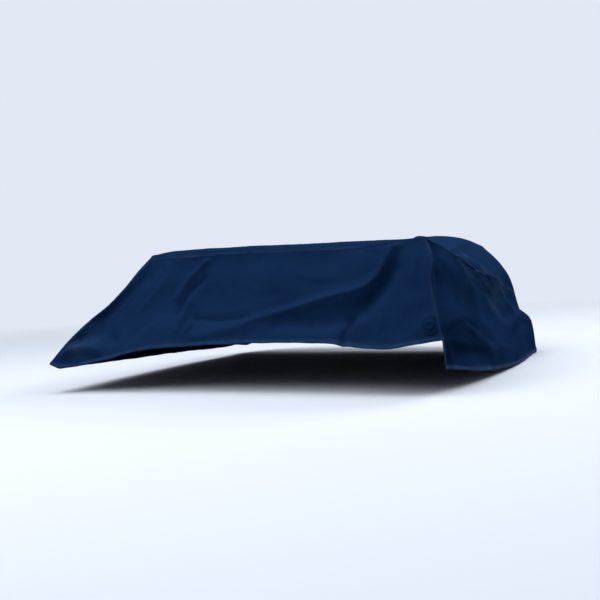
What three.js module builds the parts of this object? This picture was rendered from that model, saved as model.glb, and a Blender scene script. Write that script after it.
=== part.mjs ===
// Half cover for a small open two-seat roadster, in the shape in which it is worn.
// The cloth runs up the windscreen, over its top rail and the driver's roll hoop, and
// down to a bound hem on the bonnet, the doors and the rear deck. The car is left out.
// Millimetres. +X is the car's left, +Y its rear, +Z up. The origin is the middle of the
// windscreen's top rail, just under the cloth.
import * as THREE from 'three';

const CLOTH = 2; // thickness of the woven cloth
const SEAM_INSET = 0.5; // each panel stops this far short of the line of its seam
const BINDING_GAP = 0.3; // from the line of the hem to the binding's upper edge
const BINDING_WIDTH = 9;
const BINDING_THICKNESS = 3.2; // the cloth's edge folded into the tape
const PATCH_RADIUS = 28;
const PATCH_THICKNESS = 1.6;
const PATCH_GAP = 0.3; // from the patch to the panel it is sewn on
const PATCH_CLEARANCE = 0.7; // more, because the patch bridges the panel's facets
const PATCH_X = 556;
const PATCH_Z = -252;
const PATCH_SIDE = 19; // from its middle to the straight side, beside the corner seam
const PATCH_SIDE_TURN = THREE.MathUtils.degToRad(20); // which way that side faces

// Grid cells of the cloth.
const FLAP_ROWS = 2; // along a side panel's free edge, between the front hem and its own
const SEAM_ROWS = 12; // up a corner seam of the windscreen panel
const SIDE_COLUMNS = FLAP_ROWS + SEAM_ROWS;
const TOP_COLUMNS = 46; // from corner to corner
const PATCH_SIDES = 20;
const PATCH_RINGS = [0.5, 1]; // shares of its radius
const CELL = 26; // a cell's width across the car, roughly
const REAR_END_STEP = 7; // the binding takes every seventh point of the short rear ends

// The windscreen section, taken where the panels meet along the front of the cover.
const LEFT_FLAP_EDGE = [
  { x: 602, y: -180, z: -375 }, // hem over the door's front end
  { x: 598, y: -188, z: -287 }, // end of the front hem
];
const LEFT_CORNER_SEAM = [
  { x: 598, y: -188, z: -287 },
  { x: 580, y: -158, z: -240 },
  { x: 564, y: -126, z: -190 },
  { x: 540, y: -80, z: -118 },
  { x: 534, y: -32, z: -46 },
  { x: 502, y: 7, z: 12 }, // left end of the windscreen rail
];
const FRONT_TOP_SEAM = [
  { x: 502, y: 7, z: 12 },
  { x: 400, y: 1, z: 3 }, // here the seam runs up on to the rail
  { x: 300, y: -6, z: -9 },
  { x: 100, y: -7, z: -10 },
  { x: -200, y: -6, z: -8 },
  { x: -430, y: -8, z: -12 },
  { x: -516, y: -13, z: -17 }, // rounded right end of the rail
];
const RIGHT_CORNER_SEAM = [
  { x: -516, y: -13, z: -17 },
  { x: -556, y: -37, z: -58 },
  { x: -591, y: -76, z: -113 },
  { x: -640, y: -113, z: -171 },
  { x: -699, y: -152, z: -222 },
  { x: -739, y: -212, z: -281 },
  { x: -772, y: -272, z: -348 }, // tip, where the front hem ends
];
const RIGHT_FLAP_EDGE = [
  { x: -772, y: -272, z: -348 },
  { x: -773, y: -222, z: -369 },
];
const FRONT_HEM = [
  { x: 598, y: -188, z: -287 },
  { x: 519, y: -194, z: -297 },
  { x: 431, y: -203, z: -310 }, // low point between the bonnet's crown and the corner
  { x: 337, y: -200, z: -305 },
  { x: 230, y: -191, z: -292 },
  { x: -170, y: -192, z: -293 }, // over the crown of the bonnet
  { x: -444, y: -203, z: -310 },
  { x: -563, y: -220, z: -336 },
  { x: -634, y: -230, z: -349 },
  { x: -695, y: -241, z: -359 },
  { x: -740, y: -257, z: -361 },
  { x: -772, y: -272, z: -348 },
];

// The line over which the cloth bends back, on top of the windscreen rail.
const RAIL = [
  { x: 502, y: 22, z: 15 },
  { x: 400, y: 18, z: 11 },
  { x: 119, y: 19, z: 15 },
  { x: -206, y: 19, z: 19 },
  { x: -440, y: 16, z: 14 },
  { x: -514, y: 10, z: 3 },
];

// The hoop section, across the car at the roll hoop behind the driver.
const HOOP_Y = 870;
const HOOP_LEFT_SIDE = [
  { x: 678, z: -445 }, // hem outside the left haunch
  { x: 672, z: -352 },
  { x: 643, z: -292 }, // bend where the cloth meets the haunch
  { x: 620, z: -262 },
  { x: 610, z: -212 }, // side seam
];
const HOOP_TOP = [
  { x: 610, z: -212 },
  { x: 600, z: -160 },
  { x: 581, z: -118 },
  { x: 536, z: -58 },
  { x: 466, z: -3 },
  { x: 375, z: 28 }, // crown over the hoop
  { x: 270, z: 31 },
  { x: 185, z: 6 },
  { x: 105, z: -52 },
  { x: 10, z: -114 }, // the cloth falls away to the passenger's side
  { x: -180, z: -168 },
  { x: -380, z: -200 },
  { x: -548, z: -236 }, // side seam
];
const HOOP_RIGHT_SIDE = [
  { x: -548, z: -236 },
  { x: -620, z: -292 },
  { x: -678, z: -350 },
  { x: -692, z: -408 }, // hem outside the right haunch
];

// The rear hem, on the deck behind the seats.
const REAR_LEFT_END = [
  { x: 660, y: 1000, z: -430 },
  { x: 632, y: 1048, z: -398 },
];
const REAR_HEM = [
  { x: 632, y: 1048, z: -398 },
  { x: 560, y: 1088, z: -352 },
  { x: 400, y: 1122, z: -314 },
  { x: 150, y: 1136, z: -298 },
  { x: -150, y: 1136, z: -298 },
  { x: -400, y: 1122, z: -314 },
  { x: -560, y: 1088, z: -354 },
  { x: -632, y: 1048, z: -398 },
];
const REAR_RIGHT_END = [
  { x: -632, y: 1048, z: -398 },
  { x: -662, y: 1000, z: -416 },
];

// Where the cloth hangs between the windscreen and the hoop.
const TOP_SAG = 42; // drop of the top panel at mid span
const SIDE_SAG = 16; // how far a side panel is drawn in at mid span
const HEM_BULGE = 30; // how far a side hem stands out over the doors at mid span
const LEFT_HEM_DROP = 26; // how far the left hem dips over the door at mid span
const REAR_ROLL = { back: 48, hemBack: 76.8, drop: 20 }; // behind the hoop, before the cloth falls
const SIDE_ROLL = 24; // how far a side hem runs back before the cloth leaves the corner

// Folds, by the face of the cover that they lie on. Each runs along a path in the plane
// of its face, and stands out from the cloth by height (inwards where negative) over
// width to each side.
const FOLDS = {
  windscreen: [
    {
      name: 'start of drag fold', height: 8, width: 19,
      path: [[-246, -278], [-92, -247], [22, -216], [70, -205]],
    },
    {
      name: 'drag fold, turning up to the rail', height: 15, width: 22,
      path: [
        [104, -198], [206, -171], [293, -152], [340, -134], [367, -106], [384, -74],
        [394, -44], [404, -12],
      ],
    },
    { name: 'hollow under its start', height: -9, width: 24, path: [[50, -240], [130, -236]] },
    {
      name: 'hollow under drag fold', height: -17, width: 26,
      path: [[172, -236], [290, -228], [340, -198], [370, -162], [396, -122], [412, -82]],
    },
    {
      name: 'dip over its start', height: -8, width: 16,
      path: [[-75, -214], [-123, -223], [-173, -224], [-224, -220], [-267, -217]],
    },
    { name: 'left shoulder swell', height: 9, width: 46, path: [[474, -70], [492, -180]] },
    {
      name: 'long slanting fold', height: 8, width: 16,
      path: [[-279, -30], [-302, -54], [-325, -82], [-347, -120], [-363, -149]],
    },
    {
      name: 'hollow beside it', height: -6, width: 14,
      path: [[-271, -87], [-294, -107], [-315, -134], [-327, -160], [-342, -193]],
    },
    {
      name: 'short slanting fold', height: 5, width: 14,
      path: [[-307, -164], [-313, -190], [-321, -219], [-325, -254]],
    },
    { name: 'short upright crease', height: -8, width: 14, path: [[297, -228], [287, -262], [283, -304]] },
    { name: 'corner bump', height: 8, width: 34, path: [[550, -252], [556, -252]] },
    {
      name: 'right foot fold', height: 11, width: 22,
      path: [[-744, -318], [-700, -308], [-620, -322]],
    },
    {
      name: 'right foot hollow', height: -10, width: 24,
      path: [[-700, -276], [-640, -258], [-576, -276]],
    },
    {
      name: 'hollow beside right corner seam', height: -9, width: 30,
      path: [[-524, -84], [-592, -168], [-644, -214]],
    },
    { name: 'right panel swell', height: 8, width: 50, path: [[-440, -80], [-500, -200]] },
  ],
  left: [
    {
      name: 'arch over door', height: -10, width: 24,
      path: [[-140, -282], [-60, -268], [64, -260], [190, -264], [262, -296], [320, -340]],
    },
    {
      name: 'tuck under arch', height: -10, width: 30,
      path: [[-96, -318], [10, -304], [120, -304], [206, -314], [276, -346]],
    },
    {
      name: 'hollow behind corner', height: -15, width: 46,
      path: [[52, -34], [26, -90], [6, -150], [-40, -206], [-96, -246]],
    },
    { name: 'swell behind it', height: 6, width: 50, path: [[300, -90], [350, -130], [340, -190]] },
    {
      name: 'hoop drag fold', height: 12, width: 28,
      path: [[380, -30], [540, -84], [660, -170], [720, -262]],
    },
    { name: 'hollow under it', height: -10, width: 34, path: [[330, -110], [500, -170], [620, -260]] },
    { name: 'hollow over the hem', height: -15, width: 38, path: [[-60, -360], [80, -364], [190, -384]] },
    { name: 'haunch fold', height: 9, width: 26, path: [[560, -330], [760, -300], [960, -330]] },
  ],
  right: [
    { name: 'right side hollow', height: -15, width: 50, path: [[60, -90], [110, -170], [150, -250]] },
    {
      name: 'right side drag fold', height: 15, width: 30,
      path: [[110, -64], [280, -138], [470, -224], [700, -320]],
    },
    {
      name: 'hollow under drag fold', height: -8, width: 34,
      path: [[200, -216], [380, -270], [560, -340]],
    },
    {
      name: 'right side lower fold', height: 11, width: 26,
      path: [[-60, -296], [90, -308], [260, -334], [460, -370]],
    },
    { name: 'fold at right haunch', height: 9, width: 30, path: [[640, -250], [780, -284], [930, -330]] },
  ],
  top: [
    {
      name: 'top fold, hoop to right corner', height: 16, width: 36,
      path: [[170, 820], [40, 670], [-120, 470], [-300, 250], [-440, 90]],
    },
    {
      name: 'top hollow beside it', height: -13, width: 52,
      path: [[-60, 780], [-260, 520], [-420, 300]],
    },
    {
      name: 'top fold, hoop to rail', height: 13, width: 30,
      path: [[250, 800], [226, 600], [180, 400], [90, 180]],
    },
    { name: 'hollow between hoop folds', height: -8, width: 34, path: [[334, 740], [330, 520], [250, 260]] },
    { name: 'top fold, left', height: 12, width: 30, path: [[430, 780], [444, 600], [430, 400], [396, 230]] },
    {
      name: 'passenger side fold', height: 14, width: 40,
      path: [[40, 900], [-120, 826], [-280, 772], [-430, 730]],
    },
    {
      name: 'fold from right end of rail', height: 10, width: 28,
      path: [[-470, 80], [-494, 240], [-474, 430]],
    },
    { name: 'fold from left end of rail', height: 8, width: 24, path: [[470, 70], [506, 220], [540, 420]] },
  ],
  rear: [
    {
      name: 'rear pleat, hoop outer', height: 15, width: 26,
      path: [[470, -40], [520, -150], [548, -240], [560, -330]],
    },
    {
      name: 'rear pleat, hoop inner', height: 15, width: 30,
      path: [[170, -30], [128, -120], [104, -210], [90, -290]],
    },
    { name: 'rear hollow', height: -10, width: 46, path: [[320, -60], [326, -160], [316, -260]] },
    {
      name: 'rear fold, passenger side', height: 10, width: 30,
      path: [[-120, -176], [-190, -240], [-240, -300]],
    },
    { name: 'rear hollow, passenger side', height: -7, width: 40, path: [[-330, -214], [-390, -300]] },
  ],
};
const FOLD_FADE = 24; // folds die out over this length before the front seams

// The plane that each face's paths are drawn in, and how much its folds count at a point:
// the sides from a distance out from the middle, the top and rear by which way they face.
const FACES = {
  windscreen: { plane: ['x', 'z'], share: () => 1 },
  left: { plane: ['y', 'z'], share: (point) => step(point.x, 440, 500) },
  right: { plane: ['y', 'z'], share: (point) => step(-point.x, 440, 500) },
  top: { plane: ['x', 'y'], share: (point, normal) => step(normal.z, 0.3, 0.7) },
  rear: { plane: ['x', 'z'], share: (point, normal) => step(normal.y, 0.2, 0.6) },
};

const vec = ({ x, y, z }) => new THREE.Vector3(x, y, z);
const mix = (a, b, t) => a.clone().lerp(b, t);

// 0 below low, 1 above high, smooth between.
function step(value, low, high) {
  return THREE.MathUtils.smoothstep(value, low, high);
}

// A smooth line through the rows of a table, in equal steps.
function line(rows, steps) {
  const points = rows.map(vec);
  if (points.length === 2) {
    return Array.from({ length: steps + 1 }, (_, k) => mix(points[0], points[1], k / steps));
  }
  return new THREE.CatmullRomCurve3(points, false, 'centripetal').getSpacedPoints(steps);
}

// Lines joined end to end, each starting where the last one stops.
const chain = (...lines) => lines.flatMap((points, k) => (k ? points.slice(1) : points));

// ---- The two grids of the cloth's middle surface ----

const windscreenSection = chain(
  line(LEFT_FLAP_EDGE, FLAP_ROWS),
  line(LEFT_CORNER_SEAM, SEAM_ROWS),
  line(FRONT_TOP_SEAM, TOP_COLUMNS),
  line(RIGHT_CORNER_SEAM, SEAM_ROWS),
  line(RIGHT_FLAP_EDGE, FLAP_ROWS),
);
const COLUMNS = windscreenSection.length - 1;
const LEFT_SEAM = SIDE_COLUMNS; // column of the left side seam
const RIGHT_SEAM = SIDE_COLUMNS + TOP_COLUMNS;

// 1 on the top panel, falling to 0 at either hem.
const heightShare = (i) => Math.min(1, i / LEFT_SEAM, (COLUMNS - i) / SIDE_COLUMNS);
// 0 at the side seams, 1 midway between them.
const topShare = (i) => Math.sin(Math.PI * THREE.MathUtils.clamp((i - LEFT_SEAM) / TOP_COLUMNS, 0, 1));

// Just behind the front seams: the rail on top, the corners' back slopes at the sides.
function railSection() {
  const rail = line(RAIL, TOP_COLUMNS);
  return windscreenSection.map((point, i) => {
    if (i >= LEFT_SEAM && i <= RIGHT_SEAM) return rail[i - LEFT_SEAM];
    const end = i < LEFT_SEAM ? LEFT_SEAM : RIGHT_SEAM;
    const shift = rail[end - LEFT_SEAM].clone().sub(windscreenSection[end]);
    shift.setZ(shift.z * heightShare(i));
    shift.setY(THREE.MathUtils.lerp(SIDE_ROLL, shift.y, heightShare(i)));
    return point.clone().add(shift);
  });
}

const across = (rows) => rows.map(({ x, z }) => ({ x, y: HOOP_Y, z }));
const hoopSection = chain(
  line(across(HOOP_LEFT_SIDE), SIDE_COLUMNS),
  line(across(HOOP_TOP), TOP_COLUMNS),
  line(across(HOOP_RIGHT_SIDE), SIDE_COLUMNS),
);

// A section part of the way from the windscreen to the hoop, with the cloth's sag.
function hangingSection(share) {
  const bow = 4 * share * (1 - share);
  return windscreenSection.map((point, i) => {
    const section = mix(point, hoopSection[i], share);
    const side = Math.sign(section.x);
    const onSide = 1 - Math.abs(2 * heightShare(i) - 1);
    const outward = HEM_BULGE * (1 - step(heightShare(i), 0, 0.5)) - SIDE_SAG * onSide;
    const offTop = i < LEFT_SEAM || i > RIGHT_SEAM;
    const drop = i < LEFT_SEAM ? LEFT_HEM_DROP * (1 - step(heightShare(i), 0, 1)) : 0;
    section.x += offTop ? side * outward * bow : 0;
    section.z -= (TOP_SAG * topShare(i) + drop) * bow;
    return section;
  });
}

const rearRollSection = hoopSection.map((point, i) => {
  const up = heightShare(i);
  const back = THREE.MathUtils.lerp(REAR_ROLL.hemBack, REAR_ROLL.back, up);
  return new THREE.Vector3(point.x, point.y + back, point.z - REAR_ROLL.drop * up);
});

const rearHemSection = chain(
  line(REAR_LEFT_END, SIDE_COLUMNS),
  line(REAR_HEM, TOP_COLUMNS),
  line(REAR_RIGHT_END, SIDE_COLUMNS),
);

// Sections from front to rear, with the rows of cells up to the next one.
const SECTIONS = [
  { points: windscreenSection, rows: 1 },
  { points: railSection(), rows: 3 },
  { points: hangingSection(0.3), rows: 3 },
  { points: hangingSection(0.7), rows: 3 },
  { points: hoopSection, rows: 1 },
  { points: rearRollSection, rows: 4 },
  { points: rearHemSection, rows: 0 },
];

// The cloth behind the front seams, as columns of points from front to rear.
function bodyGrid() {
  return windscreenSection.map((_, i) => {
    const run = new THREE.CatmullRomCurve3(
      SECTIONS.map(({ points }) => points[i]), false, 'centripetal');
    const spans = SECTIONS.length - 1;
    const column = SECTIONS.flatMap(({ rows }, s) => (
      Array.from({ length: rows }, (__, k) => run.getPoint((s + k / rows) / spans))));
    return [...column, SECTIONS[spans].points[i].clone()];
  });
}

// The windscreen panel, stretched between its hem, the corner seams and the top seam.
function windscreenGrid() {
  const hem = line(FRONT_HEM, TOP_COLUMNS);
  const left = windscreenSection.slice(FLAP_ROWS, LEFT_SEAM + 1);
  const top = windscreenSection.slice(LEFT_SEAM, RIGHT_SEAM + 1);
  const right = windscreenSection.slice(RIGHT_SEAM, COLUMNS - FLAP_ROWS + 1).reverse();
  return hem.map((foot, i) => left.map((_, j) => {
    const u = i / TOP_COLUMNS;
    const v = j / SEAM_ROWS;
    const corners = mix(mix(hem[0], hem[TOP_COLUMNS], u), mix(top[0], top[TOP_COLUMNS], u), v);
    return mix(foot, top[i], v).add(mix(left[j], right[j], u)).sub(corners);
  }));
}

// ---- Folds ----

function distanceToPath(path, a, b) {
  let nearest = Infinity;
  for (let k = 1; k < path.length; k += 1) {
    const [a0, b0] = path[k - 1];
    const [a1, b1] = path[k];
    const length2 = (a1 - a0) ** 2 + (b1 - b0) ** 2;
    const along = ((a - a0) * (a1 - a0) + (b - b0) * (b1 - b0)) / length2;
    const t = THREE.MathUtils.clamp(along, 0, 1);
    nearest = Math.min(nearest, Math.hypot(a - a0 - t * (a1 - a0), b - b0 - t * (b1 - b0)));
  }
  return nearest;
}

// How far the folds of some faces lift the cloth at a point.
function relief(point, normal, faces) {
  return faces.reduce((total, face) => {
    const { plane: [a, b], share } = FACES[face];
    const lifts = FOLDS[face].map(({ height, width, path }) => (
      height * Math.exp(-((distanceToPath(path, point[a], point[b]) / width) ** 2))));
    return total + share(point, normal) * lifts.reduce((sum, lift) => sum + lift, 0);
  }, 0);
}

// ---- Shared normals, so that panels meet in mitred rims ----

const key = (p) => [p.x, p.y, p.z].map((value) => value.toFixed(3)).join();

// Adds each cell's normal to its four points, in one table for both grids.
function sumNormals(grids) {
  const sums = new Map();
  for (const grid of grids) {
    for (let i = 0; i + 1 < grid.length; i += 1) {
      for (let j = 0; j + 1 < grid[i].length; j += 1) {
        const corners = [grid[i][j], grid[i + 1][j], grid[i + 1][j + 1], grid[i][j + 1]];
        const down = corners[3].clone().sub(corners[1]);
        const along = corners[2].clone().sub(corners[0]);
        const normal = down.cross(along);
        for (const corner of corners) {
          const name = key(corner);
          sums.set(name, (sums.get(name) ?? new THREE.Vector3()).add(normal));
        }
      }
    }
  }
  return (point) => sums.get(key(point)).clone().normalize();
}

const flatWindscreen = windscreenGrid();
const flatBody = bodyGrid();
const flatNormal = sumNormals([flatWindscreen, flatBody]);

// Lifts each point by its folds, which fade towards the windscreen panel's seams.
function folded(grid, faces, lengthToSeam) {
  return grid.map((column, i) => column.map((point, j) => {
    const normal = flatNormal(point);
    const lift = relief(point, normal, faces) * step(lengthToSeam(point, i, j), 0, FOLD_FADE);
    return point.clone().addScaledVector(normal, lift);
  }));
}

const windscreen = folded(flatWindscreen, ['windscreen'], (_, i, j) => (
  CELL * Math.min(i, TOP_COLUMNS - i, SEAM_ROWS - j)));
const body = folded(flatBody, ['left', 'right', 'top', 'rear'], (point, i) => (
  point.y - flatBody[i][0].y));
const normalAt = sumNormals([windscreen, body]);

// ---- Solids ----

const CLOTH_FINISH = new THREE.MeshStandardMaterial({ color: 0x162b4d, roughness: 0.78, metalness: 0 });
const BINDING_FINISH = new THREE.MeshStandardMaterial({ color: 0x27365a, roughness: 0.6, metalness: 0 });

// A closed solid from triangles that share their points by index.
function solid(name, points, triangles, finish) {
  const geometry = new THREE.BufferGeometry().setFromPoints(points);
  geometry.setIndex(triangles.flat());
  geometry.computeVertexNormals();
  const mesh = new THREE.Mesh(geometry, finish.clone());
  mesh.name = name;
  return mesh;
}

const quad = (a, b, c, d) => [[a, b, c], [a, c, d]];
const flipped = (triangles) => triangles.map(([a, b, c]) => [a, c, b]);

// Joins an outer skin to the same skin underneath, which starts at index under.
function closeSkins(skin, rim, under) {
  const inner = flipped(skin).map((triangle) => triangle.map((index) => index + under));
  const edge = rim.flatMap((a, k) => {
    const b = rim[(k + 1) % rim.length];
    return quad(b, a, a + under, b + under);
  });
  return [...skin, ...inner, ...edge];
}

// A panel: a grid of points thickened to the cloth, its rim drawn in from the seams.
function panel(name, grid) {
  const wide = grid.length - 1;
  const long = grid[0].length - 1;
  const towards = (point, i, j) => grid[i][j].clone().sub(point).setLength(SEAM_INSET);
  const inset = (point, i, j) => (
    towards(point, THREE.MathUtils.clamp(i, 1, wide - 1), j)
      .add(towards(point, i, THREE.MathUtils.clamp(j, 1, long - 1))));
  const skinPoints = (side) => grid.flatMap((column, i) => column.map((point, j) => (
    point.clone().add(inset(point, i, j)).addScaledVector(normalAt(point), side * CLOTH / 2))));

  const at = (i, j) => i * (long + 1) + j;
  const cells = Array.from({ length: wide * long }, (_, k) => [Math.floor(k / long), k % long]);
  const skin = cells.flatMap(([i, j]) => quad(at(i, j), at(i, j + 1), at(i + 1, j + 1), at(i + 1, j)));
  const rim = [
    ...Array.from({ length: long }, (_, j) => at(0, j)),
    ...Array.from({ length: wide }, (_, i) => at(i, long)),
    ...Array.from({ length: long }, (_, j) => at(wide, long - j)),
    ...Array.from({ length: wide }, (_, i) => at(wide - i, 0)),
  ];
  const under = (wide + 1) * (long + 1);
  return solid(name, [...skinPoints(1), ...skinPoints(-1)], closeSkins(skin, rim, under), CLOTH_FINISH);
}

// The line of the hem, all the way round, from the left end of the front hem.
function hemLoop() {
  const front = windscreen.map((column) => column[0]);
  const sectionEdge = body.map((column) => column[0]);
  const rear = body.map((column) => column.at(-1)).filter((_, i) => (
    heightShare(i) === 1 || Math.min(i, COLUMNS - i) % REAR_END_STEP === 0));
  return chain(
    front,
    sectionEdge.slice(COLUMNS - FLAP_ROWS),
    body[COLUMNS],
    rear.toReversed(),
    body[0].toReversed(),
    sectionEdge.slice(0, FLAP_ROWS + 1),
  ).slice(0, -1);
}

// The tape folded over the hem: a flat section carried round the whole loop.
function binding(name) {
  const loop = hemLoop();
  const count = loop.length;
  const half = BINDING_THICKNESS / 2;
  const section = [
    [BINDING_GAP, half], [BINDING_WIDTH, half], [BINDING_WIDTH, -half], [BINDING_GAP, -half],
  ];
  const points = loop.flatMap((point, k) => {
    const normal = normalAt(point);
    const onward = loop[(k + 1) % count].clone().sub(loop[(k + count - 1) % count]);
    const outward = normal.clone().cross(onward).normalize();
    return section.map(([out, up]) => (
      point.clone().addScaledVector(outward, out).addScaledVector(normal, up)));
  });
  const sides = section.length;
  const triangles = loop.flatMap((_, k) => section.flatMap((__, m) => {
    const here = k * sides;
    const next = ((k + 1) % count) * sides;
    const n = (m + 1) % sides;
    return quad(here + m, next + m, next + n, here + n);
  }));
  return solid(name, points, triangles, BINDING_FINISH);
}

// The point of the windscreen panel that lies at x and z, seen from the front.
function onWindscreenPanel(x, z) {
  const ray = new THREE.Ray(new THREE.Vector3(x, -2000, z), new THREE.Vector3(0, 1, 0));
  const hit = new THREE.Vector3();
  const meets = (a, b, c) => ray.intersectTriangle(a, b, c, false, hit);
  for (let i = 0; i < TOP_COLUMNS; i += 1) {
    for (let j = 0; j < SEAM_ROWS; j += 1) {
      const corner = windscreen[i][j];
      const opposite = windscreen[i + 1][j + 1];
      if (meets(corner, windscreen[i][j + 1], opposite)) return hit;
      if (meets(corner, opposite, windscreen[i + 1][j])) return hit;
    }
  }
  throw new Error('the patch reaches past the windscreen panel');
}

// The patch sewn over the lower left corner of the windscreen panel: round, but for a
// straight side along the corner seam.
function patch(name) {
  const around = Array.from({ length: PATCH_SIDES }, (_, k) => k);
  const ring = (share) => around.map((k) => {
    const angle = (2 * Math.PI * k) / PATCH_SIDES;
    const towardsSeam = Math.cos(angle - PATCH_SIDE_TURN);
    const toSide = towardsSeam > 0 ? PATCH_SIDE / towardsSeam : Infinity;
    const radius = share * Math.min(PATCH_RADIUS, toSide);
    return onWindscreenPanel(PATCH_X + radius * Math.cos(angle), PATCH_Z + radius * Math.sin(angle));
  });
  const centre = onWindscreenPanel(PATCH_X, PATCH_Z);
  const [inner, outer] = PATCH_RINGS.map(ring);
  const footprint = [centre, ...inner, ...outer];
  const facing = around.reduce((sum, k) => {
    const here = outer[k].clone().sub(centre);
    return sum.add(here.cross(outer[(k + 1) % PATCH_SIDES].clone().sub(centre)));
  }, new THREE.Vector3()).normalize();

  const skinPoints = (lift) => footprint.map((point) => point.clone().addScaledVector(facing, lift));
  const back = CLOTH / 2 + PATCH_GAP + PATCH_CLEARANCE;
  const at = (m, k) => 1 + m * PATCH_SIDES + (k % PATCH_SIDES);
  const skin = around.flatMap((k) => [
    [0, at(0, k), at(0, k + 1)],
    ...quad(at(0, k), at(1, k), at(1, k + 1), at(0, k + 1)),
  ]);
  const points = [...skinPoints(back + PATCH_THICKNESS), ...skinPoints(back)];
  const rim = around.map((k) => at(1, k));
  return solid(name, points, closeSkins(skin, rim, footprint.length), CLOTH_FINISH);
}

const cover = new THREE.Group();
cover.add(
  panel('windscreen_panel', windscreen),
  panel('top_panel', body.slice(LEFT_SEAM, RIGHT_SEAM + 1)),
  panel('left_side_panel', body.slice(0, LEFT_SEAM + 1)),
  panel('right_side_panel', body.slice(RIGHT_SEAM)),
  binding('hem_binding'),
  patch('corner_patch'),
);

export default cover;
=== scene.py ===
import math

import bmesh
import bpy
import numpy as np
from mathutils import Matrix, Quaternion, Vector, noise
from mathutils.bvhtree import BVHTree


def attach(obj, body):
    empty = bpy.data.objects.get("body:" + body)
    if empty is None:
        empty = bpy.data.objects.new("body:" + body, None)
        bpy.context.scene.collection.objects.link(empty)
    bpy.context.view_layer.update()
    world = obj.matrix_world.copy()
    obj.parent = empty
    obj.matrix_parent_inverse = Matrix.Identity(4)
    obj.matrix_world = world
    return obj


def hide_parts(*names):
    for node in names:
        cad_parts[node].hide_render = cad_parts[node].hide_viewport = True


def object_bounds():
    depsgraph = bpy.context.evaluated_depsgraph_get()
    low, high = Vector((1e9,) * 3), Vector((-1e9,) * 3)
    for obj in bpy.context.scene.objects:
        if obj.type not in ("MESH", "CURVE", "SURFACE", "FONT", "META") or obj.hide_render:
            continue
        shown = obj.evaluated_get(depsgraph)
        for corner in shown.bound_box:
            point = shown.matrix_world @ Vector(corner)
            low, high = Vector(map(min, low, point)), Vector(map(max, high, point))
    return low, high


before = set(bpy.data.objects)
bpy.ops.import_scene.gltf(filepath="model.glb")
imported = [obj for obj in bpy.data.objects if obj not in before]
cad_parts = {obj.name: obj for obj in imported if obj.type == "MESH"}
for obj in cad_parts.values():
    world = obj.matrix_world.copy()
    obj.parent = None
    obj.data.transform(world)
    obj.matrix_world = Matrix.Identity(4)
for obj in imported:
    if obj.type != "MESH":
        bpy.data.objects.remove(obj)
cad_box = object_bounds()

MM = 0.001

# ---- The shape in which the cover is worn: the same tables as the solids ----

LEFT_FLAP_EDGE = [(602, -180, -375), (598, -188, -287)]
LEFT_CORNER_SEAM = [
    (598, -188, -287), (580, -158, -240), (564, -126, -190), (540, -80, -118),
    (534, -32, -46), (502, 7, 12),
]
FRONT_TOP_SEAM = [
    (502, 7, 12), (400, 1, 3), (300, -6, -9), (100, -7, -10), (-200, -6, -8),
    (-430, -8, -12), (-516, -13, -17),
]
RIGHT_CORNER_SEAM = [
    (-516, -13, -17), (-556, -37, -58), (-591, -76, -113), (-640, -113, -171),
    (-699, -152, -222), (-739, -212, -281), (-772, -272, -348),
]
RIGHT_FLAP_EDGE = [(-772, -272, -348), (-773, -222, -369)]
FRONT_HEM = [
    (598, -188, -287), (519, -194, -297), (431, -203, -310), (337, -200, -305),
    (230, -191, -292), (-170, -192, -293), (-444, -203, -310), (-563, -220, -336),
    (-634, -230, -349), (-695, -241, -359), (-740, -257, -361), (-772, -272, -348),
]
RAIL = [
    (502, 22, 15), (400, 18, 11), (119, 19, 15), (-206, 19, 19), (-440, 16, 14),
    (-514, 10, 3),
]
HOOP_Y = 870
HOOP_LEFT_SIDE = [(678, -445), (672, -352), (643, -292), (620, -262), (610, -212)]
HOOP_TOP = [
    (610, -212), (600, -160), (581, -118), (536, -58), (466, -3), (375, 28), (270, 31),
    (185, 6), (105, -52), (10, -114), (-180, -168), (-380, -200), (-548, -236),
]
HOOP_RIGHT_SIDE = [(-548, -236), (-620, -292), (-678, -350), (-692, -408)]
REAR_LEFT_END = [(660, 1000, -430), (632, 1048, -398)]
REAR_HEM = [
    (632, 1048, -398), (560, 1088, -352), (400, 1122, -314), (150, 1136, -298),
    (-150, 1136, -298), (-400, 1122, -314), (-560, 1088, -354), (-632, 1048, -398),
]
REAR_RIGHT_END = [(-632, 1048, -398), (-662, 1000, -416)]

TOP_SAG, SIDE_SAG, HEM_BULGE, LEFT_HEM_DROP = 42, 16, 30, 26
REAR_ROLL_BACK, REAR_ROLL_HEM_BACK, REAR_ROLL_DROP = 48, 76.8, 20
SIDE_ROLL = 24

# A place across the cover is counted in units from the left hem to the right one.
FLAP, SEAM, ACROSS = 2, 12, 46
LEFT, RIGHT, WHOLE = 14, 60, 74  # the side seams, and the right hem

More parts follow.
